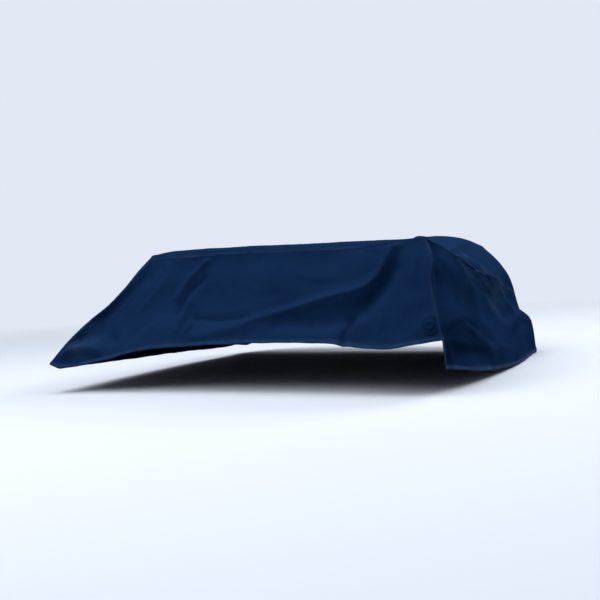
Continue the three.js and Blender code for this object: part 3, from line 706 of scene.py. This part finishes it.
def panel(name, grid, laps, hems, material, allowances=()):
    """A sheet of cloth on a grid. laps are its edges that lie over another panel, as
    (axis, end), hems its bound edges, and allowances its strips under other panels."""
    normals = grid_normals(grid)
    for axis, end in laps:
        grid = grid + normals * lapped(from_edge(grid, axis, end))[..., None]
    vertices, quads, threads = [], [], []
    for sheet in (grid, *allowances):
        index = np.arange(sheet[..., 0].size).reshape(sheet.shape[:2]) + sum(map(len, vertices))
        quads.append(np.stack(
            [index[:-1, :-1], index[:-1, 1:], index[1:, 1:], index[1:, :-1]], axis=-1
        ).reshape(-1, 4))
        vertices.append(sheet.reshape(-1, 3))
        threads.append(np.stack([
            from_edge(sheet, 0, False), from_edge(sheet, 1, False), np.zeros(sheet.shape[:2])
        ], axis=-1).reshape(-1, 3) * MM)
    obj = new_object(name, np.concatenate(vertices), np.concatenate(quads).tolist(), material)
    add_attribute(obj, "threads", "FLOAT_VECTOR", np.concatenate(threads))
    to_lap = np.minimum.reduce([from_edge(grid, *edge) for edge in laps + hems])
    edge = np.ones(len(obj.data.vertices))
    edge[:to_lap.size] = np.clip(1 - to_lap / WEAR_REACH, 0, 1).ravel()
    add_attribute(obj, "edge", "FLOAT", edge)
    # painted highlights and painted shade, as an attribute for the material
    add_attribute(obj, "painted_light_and_shade", "FLOAT", painted_light_and_shade(np.concatenate(vertices)))
    mesh = bmesh.new()
    mesh.from_mesh(obj.data)
    bmesh.ops.remove_doubles(mesh, verts=mesh.verts, dist=0.1 * MM)
    mesh.to_mesh(obj.data)
    mesh.free()
    thickened(obj)
    return obj, grid, grid_normals(grid)


def row_at(grid, normals, axis, end, distance):
    """The row of points on a panel at a distance from one edge, and its normals."""
    both = np.moveaxis(np.concatenate([grid, normals], axis=2), axis, 0)
    both = both[::-1] if end else both
    length = run_length(both[..., :3])
    rows = np.array([
        [np.interp(distance, length[:, k], both[:, k, m]) for m in range(6)]
        for k in range(both.shape[1])
    ])
    return rows[:, :3], rows[:, 3:]


def resampled(points, pitch, *others):
    """A line at an even pitch, with other rows of values carried along."""
    length = run_length(points)
    at = np.linspace(0, length[-1], max(2, round(length[-1] / pitch) + 1))
    return [
        np.stack([np.interp(at, length, values[:, k]) for k in range(values.shape[1])], axis=1)
        for values in (points, *others)
    ]


def ring_faces(rings, sides, closed=False, first=0):
    """Quads between rings of points that follow each other."""
    here = first + np.arange(rings)[:, None] * sides
    after = np.roll(here, -1, axis=0)
    k, onward = np.arange(sides), (np.arange(sides) + 1) % sides
    quads = np.stack([here + k, after + k, after + onward, here + onward], axis=-1)
    return (quads if closed else quads[:-1]).reshape(-1, 4).tolist()


# A stitch: rings along it as (share of its length, height in threads), and their sides.
STITCH_RINGS = [(-0.5, -0.9), (-0.32, 0.25), (0.0, 0.62), (0.32, 0.25), (0.5, -0.9)]
STITCH_SIDES = 6


def stitches(rows, long=3.1, pitch=4.2, thick=0.42):
    """Threads along rows of (points, normals), each lying on the cloth: vertices and faces."""
    last = (len(STITCH_RINGS) - 1) * STITCH_SIDES
    faces = ring_faces(len(STITCH_RINGS), STITCH_SIDES)
    faces += [range(STITCH_SIDES), range(last + STITCH_SIDES - 1, last - 1, -1)]
    vertices, polygons = [], []
    for points, normals in rows:
        points, normals = resampled(points, pitch, normals)
        tangent, normals = unit(np.gradient(points, axis=0)), unit(normals)
        across = np.cross(tangent, normals)
        middles = points[:-1] + np.diff(points, axis=0) / 2
        for centre, t, n, b in zip(middles, tangent, normals, across):
            start = len(vertices)
            for share, height in STITCH_RINGS:
                for k in range(STITCH_SIDES):
                    angle = 2 * math.pi * k / STITCH_SIDES
                    up = CLOTH_THICKNESS / 2 + height * thick + thick * math.sin(angle)
                    vertices.append(
                        centre + t * share * long + n * up + b * thick * math.cos(angle))
            polygons += [tuple(start + k for k in face) for face in faces]
    return vertices, polygons


# ---- Materials ----


class Nodes:
    """The node tree of a material or a world, built from its shader back."""

    def __init__(self, owner, shader):
        owner.use_nodes = True
        self.owner, self.tree = owner, owner.node_tree
        self.shader = self.tree.nodes[shader]

    def put(self, socket, value):
        """Links a value to a socket, or sets it there."""
        if isinstance(value, bpy.types.NodeSocket):
            self.tree.links.new(value, socket)
        else:
            socket.default_value = value

    def node(self, kind, inputs=(), **settings):
        made = self.tree.nodes.new(kind)
        for key, value in settings.items():
            setattr(made, key, value)
        for key, value in dict(inputs).items():
            self.put(made.inputs[key], value)
        return made

    def shade(self, **inputs):
        for key, value in inputs.items():
            self.put(self.shader.inputs[key.replace("_", " ")], value)

    def mix_in(self, share, other, output):
        """Sends a mix of the shader and another one to the tree's output."""
        mixed = self.node("ShaderNodeMixShader", {0: share, 1: self.shader.outputs[0], 2: other})
        self.tree.links.new(mixed.outputs[0], self.tree.nodes[output].inputs["Surface"])

    def attribute(self, name, output):
        return self.node("ShaderNodeAttribute", attribute_name=name).outputs[output]

    def place(self):
        return self.node("ShaderNodeTexCoord").outputs["Object"]

    def axes(self, vector):
        return self.node("ShaderNodeSeparateXYZ", {0: vector}).outputs

    def math(self, operation, a, b=0.0):
        return self.node("ShaderNodeMath", {0: a, 1: b}, operation=operation).outputs[0]

    def times(self, a, b):
        return self.math("MULTIPLY", a, b)

    def waves(self, value, pitch):
        """Waves along a value in metres, two to a pitch in millimetres."""
        return self.math("SINE", self.times(value, math.pi / (pitch * MM)))

    def noise(self, where, scale, detail=3.0, roughness=0.55):
        return self.node(
            "ShaderNodeTexNoise",
            {"Vector": where, "Scale": scale, "Detail": detail, "Roughness": roughness},
        ).outputs["Fac"]

    def blend(self, factor, a, b):
        """A mix of two colours."""
        inputs = {0: factor}
        for key, colour in ((6, a), (7, b)):
            inputs[key] = (*colour, 1) if isinstance(colour, tuple) else colour
        return self.node("ShaderNodeMix", inputs, data_type="RGBA").outputs[2]

    def range(self, value, low, high, to_low, to_high):
        return self.node(
            "ShaderNodeMapRange", {0: value, 1: low, 2: high, 3: to_low, 4: to_high}
        ).outputs[0]

    def bump(self, height, strength, distance, **inputs):
        return self.node("ShaderNodeBump", {
            "Height": height, "Strength": strength, "Distance": distance, **inputs
        }).outputs[0]


def new_material(name):
    return Nodes(bpy.data.materials.new(name), "Principled BSDF")


def scaled(colour, k):
    return tuple(c * k for c in colour)


def cloth_material(name, colour, thread=1.05):
    """Woven cloth. thread is the pitch of its plain weave in millimetres."""
    n = new_material(name)
    where, place = n.attribute("threads", "Vector"), n.place()
    axes = n.axes(where)
    weave = n.times(n.waves(axes[0], thread), n.waves(axes[1], thread))
    slubs = [
        n.noise(n.node("ShaderNodeMapping", {0: where, "Scale": scale}).outputs[0], 1.0, 2)
        for scale in ((900, 110, 1), (110, 900, 1))
    ]
    threads = n.math("ADD", n.times(slubs[0], 0.5), n.times(slubs[1], 0.5))
    dust = n.times(n.range(n.noise(place, 34, 5), 0.5, 0.74, 0.0, 1.0), 0.25)

    fade = n.range(n.noise(place, 5.5, 4), 0.36, 0.64, 0.0, 1.0)
    tone = n.blend(fade, scaled(colour, 0.84), scaled(colour, 1.18))
    tone = n.blend(n.range(threads, 0.38, 0.62, 0.0, 0.08), tone, scaled(colour, 1.7))
    tone = n.blend(n.times(dust, 0.2), tone, DUST)
    worn = n.range(n.noise(place, 7.0, 3), 0.40, 0.62, 0.04, 0.60)
    edge = n.math("POWER", n.attribute("edge", "Fac"), 3.0)
    tone = n.blend(n.times(edge, worn), tone, WORN_NAVY)
    # Cloth that faces up is painted lighter: a painted sky sheen.
    up = n.axes(n.node("ShaderNodeNewGeometry").outputs["Normal"])[2]
    sky_sheen_tone = n.blend(0.2, scaled(colour, 1.15), SKY_SHEEN_NAVY)
    tone = n.blend(n.range(up, 0.35, 0.95, 0.0, 1.0), tone, sky_sheen_tone)
    # Painted highlights (streaks on the hoop's shoulder) and painted shade (under the arch of the
    # left side).
    painted_share = n.attribute("painted_light_and_shade", "Fac")
    patchy = n.range(n.noise(place, 46, 3), 0.36, 0.62, 0.65, 1.0)
    tone = n.blend(n.times(n.range(painted_share, 0, 1, 0, 1), patchy), tone, PAINTED_HIGHLIGHT_NAVY)
    tone = n.blend(n.range(painted_share, -1, 0, 1, 0), tone, scaled(colour, 0.3))

    rough = n.math("ADD", n.range(threads, 0.3, 0.7, 0.80, 0.92), n.times(dust, 0.1))
    height = n.math("ADD", n.times(weave, 0.10), n.times(threads, 0.10))
    wrinkle = n.noise(place, 62, 4, 0.5)
    soft = n.bump(wrinkle, 0.20, 0.004, Normal=n.bump(height, 0.35, 0.0006))
    n.shade(Base_Color=tone, Roughness=rough, Normal=soft, Sheen_Weight=0.02,
            Sheen_Roughness=0.35, Sheen_Tint=(0.20, 0.55, 1.0, 1), Specular_IOR_Level=0.0)
    return n.owner


def tape_material():
    """Ribbed binding tape."""
    n = new_material("binding_tape")
    ribs = n.waves(n.axes(n.attribute("threads", "Vector"))[0], 0.8)
    wear = n.noise(n.place(), 24, 4)
    share = n.range(wear, 0.35, 0.68, 0.0, 1.0)
    n.shade(
        Base_Color=n.blend(share, scaled(TAPE_NAVY, 0.78), scaled(TAPE_NAVY, 1.35)),
        Roughness=n.range(wear, 0.3, 0.7, 0.52, 0.68),
        Normal=n.bump(ribs, 0.3, 0.0004), Specular_IOR_Level=0.02)
    return n.owner


def thread_material():
    n = new_material("sewing_thread")
    strand = n.noise(n.place(), 900, 2)
    share = n.range(strand, 0.3, 0.7, 0.0, 1.0)
    n.shade(
        Base_Color=n.blend(share, scaled(THREAD_NAVY, 0.8), scaled(THREAD_NAVY, 1.3)),
        Roughness=0.65, Normal=n.bump(strand, 0.3, 0.0003), Specular_IOR_Level=0.06)
    return n.owner


cloth = cloth_material("cover_cloth", NAVY)
patch_cloth = cloth_material("patch_cloth", scaled(NAVY, 0.7))
tape = tape_material()
thread = thread_material()

# ---- The four panels ----

top_grid = body[left_column:right_column + 1]
left_grid = body[:left_column + 1]
right_grid = body[right_column:]

WINDSCREEN_LAPS, TOP_LAPS = [FIRST_EDGE, LAST_EDGE], [FRONT_EDGE, FIRST_EDGE, LAST_EDGE]
windscreen_panel, windscreen, windscreen_out = panel(
    "windscreen_cloth", windscreen, WINDSCREEN_LAPS, [FRONT_EDGE], cloth, [under_top])
top_panel, top_grid, top_out = panel("top_cloth", top_grid, TOP_LAPS, [REAR_EDGE], cloth)
left_panel, left_grid, left_out = panel(
    "left_side_cloth", left_grid, [], [FIRST_EDGE], cloth,
    [body[left_column:left_column + ALLOWANCE], under_corners[0][:, ::-1]])
right_panel, right_grid, right_out = panel(
    "right_side_cloth", right_grid, [], [LAST_EDGE], cloth,
    [body[right_column - ALLOWANCE + 1:right_column + 1], under_corners[1][::-1]])

seam_rows = []
for distance in ROWS_ON_LAP:
    seam_rows += [row_at(windscreen, windscreen_out, *edge, distance) for edge in WINDSCREEN_LAPS]
    seam_rows += [row_at(top_grid, top_out, *edge, distance) for edge in TOP_LAPS]
seam_stitching = new_object("seam_stitching", *stitches(seam_rows), thread)

# ---- The binding round the hem ----

rear = np.concatenate([left_grid[:, -1], top_grid[1:, -1], right_grid[1:, -1]])
rear_out = np.concatenate([left_out[:, -1], top_out[1:, -1], right_out[1:, -1]])
runs = [
    (windscreen[:, 0], windscreen_out[:, 0]),
    (right_grid[-flap - 1:, 0], right_out[-flap - 1:, 0]),
    (right_grid[-1], right_out[-1]),
    (rear[::-1], rear_out[::-1]),
    (left_grid[0][::-1], left_out[0][::-1]),
    (left_grid[:flap + 1, 0], left_out[:flap + 1, 0]),
]
hem, hem_out = (np.concatenate(rows) for rows in zip(*runs))
fresh = np.linalg.norm(hem - np.roll(hem, 1, axis=0), axis=1) > 0.5
hem, hem_out = hem[fresh], hem_out[fresh]
closed, closed_out = np.vstack([hem, hem[:1]]), np.vstack([hem_out, hem_out[:1]])
hem, hem_out = (rows[:-1] for rows in resampled(closed, TAPE_PITCH, closed_out))


def round_loop(values, times):
    """Evens out values along a closed loop."""
    for _ in range(times):
        values = (np.roll(values, 1, axis=0) + 2 * values + np.roll(values, -1, axis=0)) / 4
    return values


hem, hem_out = round_loop(hem, 2), unit(round_loop(hem_out, 6))
onward = np.roll(hem, -1, axis=0) - np.roll(hem, 1, axis=0)
outward = unit(round_loop(unit(np.cross(hem_out, onward)), 3))

# The tape's section: (beyond the hem, above it), round from its upper edge on the cloth.
H = TAPE_HALF
TAPE_SECTION = [
    (-TAPE_IN, 0.95), (-TAPE_IN + 0.2, H - 0.25), (-TAPE_IN + 1.0, H), (-1.6, H - 0.15),
    (1.5, H + 0.1), (5.0, H + 0.1), (7.6, H - 0.3), (TAPE_OUT - 0.4, 0.8), (TAPE_OUT, 0.0),
    (TAPE_OUT - 0.4, -0.8), (7.6, -H + 0.3), (5.0, -H - 0.1), (1.5, -H - 0.1),
    (-1.6, -H + 0.15), (-TAPE_IN + 1.0, -H), (-TAPE_IN + 0.2, -H + 0.25), (-TAPE_IN, -0.95),
    (1.2, -0.9), (1.2, 0.9),
]
pucker = 0.22 * mottle(hem, 7, 1.3) + 0.12
tape_points = np.stack([
    hem + outward * (out + 0.5 * (out > 4) * mottle(hem, 26, 8.8)[:, None])
    + hem_out * (up + np.sign(up) * pucker * (abs(up) > 1))[:, None]
    for out, up in TAPE_SECTION
], axis=1)
count, sides = tape_points.shape[:2]
binding = new_object(
    "hem_tape", tape_points.reshape(-1, 3), ring_faces(count, sides, closed=True), tape)
around = np.cumsum([0] + [math.dist(a, b) for a, b in zip(TAPE_SECTION, TAPE_SECTION[1:])])
length = run_length(hem)
add_attribute(binding, "threads", "FLOAT_VECTOR", np.stack([
    np.repeat(length, sides), np.tile(around, count), np.zeros(count * sides)], axis=1) * MM)

tape_row = hem - outward * (TAPE_IN - 1.4) + hem_out * (H - CLOTH_THICKNESS / 2)
hem_stitching = new_object("hem_stitching", *stitches([(tape_row, hem_out)]), thread)

# ---- The round patch at the windscreen panel's corner ----

tree = BVHTree.FromPolygons(
    [vertex.co / MM for vertex in windscreen_panel.data.vertices],
    [tuple(polygon.vertices) for polygon in windscreen_panel.data.polygons])


def on_windscreen(x, z):
    point, normal, _, _ = tree.ray_cast(Vector((x, -2000, z)), Vector((0, 1, 0)))
    return np.array(point), np.array(normal if normal.y < 0 else -normal)


RINGS = [
    0.1, 0.19, 0.24, 0.29, 0.34, 0.39, 0.44, 0.52, 0.62, 0.74, 0.8, 0.84, 0.87, 0.9, 0.94, 1.0,
]
SPOKES = 72
facing = on_windscreen(*PATCH_AT)[1]


def on_patch(share, angle):
    """A point of the patch: a raised ring round its middle, drawn in along its stitches."""
    radius = PATCH_RADIUS * (1 + 0.012 * math.sin(3 * angle + 0.6))
    towards_seam = max(math.cos(angle - PATCH_SIDE_TURN), 0.1)
    radius = share * min(radius, PATCH_SIDE / towards_seam)
    x, z = radius * math.cos(angle), radius * math.sin(angle)
    point, _ = on_windscreen(PATCH_AT[0] + x, PATCH_AT[1] + z)
    ring = 2.8 * math.exp(-(((math.hypot(x, z) - PATCH_RING) / 2.4) ** 2))
    seam = 0.8 * math.exp(-(((share - PATCH_SEAM) / 0.05) ** 2))
    return point + facing * (PATCH_RISE + ring - seam), (x * MM, z * MM, 0)


patch_dots = [on_patch(0, 0)]
for share in RINGS:
    patch_dots += [on_patch(share, 2 * math.pi * spoke / SPOKES) for spoke in range(SPOKES)]
patch_faces = [(1 + s, 1 + (s + 1) % SPOKES, 0) for s in range(SPOKES)]
patch_faces += ring_faces(len(RINGS), SPOKES, first=1)
patch = new_object("round_patch", [point for point, _ in patch_dots], patch_faces, patch_cloth)
add_attribute(patch, "threads", "FLOAT_VECTOR", np.array([flat for _, flat in patch_dots]))
thickened(patch)
turns = np.linspace(0, 2 * math.pi, SPOKES + 1)
stitch_ring = np.array([on_patch(PATCH_SEAM, angle)[0] for angle in turns])
patch_rows = [(stitch_ring, np.tile(facing, (len(turns), 1)))]
patch_stitching = new_object(
    "patch_stitching", *stitches(patch_rows, pitch=4.0), thread)

# ---- What each piece stands for ----

for obj, node in (
    (windscreen_panel, "windscreen_panel"), (top_panel, "top_panel"),
    (left_panel, "left_side_panel"), (right_panel, "right_side_panel"),
    (binding, "hem_binding"), (patch, "corner_patch"),
):
    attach(obj, "root")
    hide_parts(node)
for obj in (seam_stitching, patch_stitching):
    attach(obj, "root")
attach(hem_stitching, "root")

# ---- Stage, light and camera ----

FLOOR = cad_box[0].z - 0.002
PALE = (0.76, 0.81, 0.90, 1)  # the background
WORLD_COLOUR, WORLD_STRENGTH = (0.86, 0.90, 1.0, 1), 0.344  # as it lights the cover
PALE_FLOOR = (0.768, 0.813, 0.896)  # as seen
FLOOR_GLOW = (0.11, 0.122, 0.145)  # as it lights the cover
FLOOR_FROM, FLOOR_TO, FLOOR_HALF_WIDTH = -6.0, 7.0, 14.0  # in metres
CURVE_RADIUS, CURVE_STEPS, BACKDROP_TOP = 3.0, 16, 9.0


def seen_directly(n):
    """1 for rays that show the background itself, 0 for those that light the cover."""
    rays = n.node("ShaderNodeLightPath").outputs
    seen = n.math("MAXIMUM", rays["Is Camera Ray"], rays["Is Glossy Ray"])
    return n.math("MAXIMUM", seen, rays["Is Transmission Ray"])


def floor_material():
    """A pale floor that keeps the cover's shadow, and turns into a plain backdrop far off."""
    n = new_material("pale_floor")
    seen = seen_directly(n)
    n.shade(
        Base_Color=n.blend(seen, FLOOR_GLOW, PALE_FLOOR), Roughness=0.9, Specular_IOR_Level=0.05)
    far = n.node("ShaderNodeVectorMath", {0: n.place()}, operation="LENGTH").outputs["Value"]
    share = n.times(n.range(far, 1.7, 4.6, 0.0, 1.0), seen)
    backdrop = n.node("ShaderNodeEmission", {"Color": PALE, "Strength": 1.0})
    n.mix_in(share, backdrop.outputs[0], "Material Output")
    return n.owner


# The floor, which curves up into the backdrop behind the cover.
profile = [(FLOOR_FROM, FLOOR), (FLOOR_TO, FLOOR)]
for k in range(1, CURVE_STEPS + 1):
    angle = math.pi / 2 * k / CURVE_STEPS
    profile.append((FLOOR_TO + CURVE_RADIUS * math.sin(angle),
                    FLOOR + CURVE_RADIUS * (1 - math.cos(angle))))
profile.append((FLOOR_TO + CURVE_RADIUS, BACKDROP_TOP))
yaw = math.radians(CAMERA_YAW)
corners = [
    (x * math.cos(yaw) - y * math.sin(yaw), x * math.sin(yaw) + y * math.cos(yaw), z)
    for x in (-FLOOR_HALF_WIDTH, FLOOR_HALF_WIDTH) for y, z in profile
]
k = len(profile)
strips = [(i, i + k, i + k + 1, i + 1) for i in range(k - 1)]
obj = new_object("sweep", corners, strips, floor_material(), scale=1)


def area_light(name, at, towards, size, power, colour=(1, 1, 1)):
    light = bpy.data.lights.new(name, "AREA")
    light.shape, light.size, light.size_y = "RECTANGLE", *size
    light.energy, light.color = power, colour
    obj = bpy.data.objects.new(name, light)
    obj.location = at
    obj.rotation_euler = (Vector(towards) - Vector(at)).to_track_quat("-Z", "Y").to_euler()
    bpy.context.collection.objects.link(obj)


area_light("sky", (-0.9, -0.8, 3.5), (0, 0.2, 0), (3.6, 3.6), 121, (0.97, 0.98, 1.0))
area_light("front", (-2.6, -3.4, 2.5), (0, 0, -0.2), (1.8, 1.8), 62.5)
area_light("side", (3.5, 0.8, 2.9), (0.4, 0.4, -0.2), (2.0, 1.8), 34.4)
area_light("rear", (2.6, 3.6, 2.5), (0.4, 0.4, -0.2), (2.0, 1.8), 109)

world = bpy.data.worlds.new("studio")
n = Nodes(world, "Background")
n.shade(Color=WORLD_COLOUR, Strength=WORLD_STRENGTH)
shown = n.node("ShaderNodeBackground", {"Color": PALE, "Strength": 1.0})
n.mix_in(seen_directly(n), shown.outputs[0], "World Output")
bpy.context.scene.world = world

camera = bpy.data.objects.new("camera", bpy.data.cameras.new("camera"))
camera.data.lens = LENS
camera.data.sensor_width = 36
camera.data.clip_end = 60
pitch = math.radians(CAMERA_PITCH)
forward = Vector((
    -math.sin(yaw) * math.cos(pitch), math.cos(yaw) * math.cos(pitch), math.sin(pitch)))
camera.location = CAMERA_AT
camera.rotation_mode = "QUATERNION"
camera.rotation_quaternion = forward.to_track_quat("-Z", "Y")
camera.rotation_quaternion.rotate(Quaternion(forward, math.radians(CAMERA_ROLL)))
bpy.context.collection.objects.link(camera)
bpy.context.scene.camera = camera
bpy.context.scene.view_settings.view_transform = "Standard"
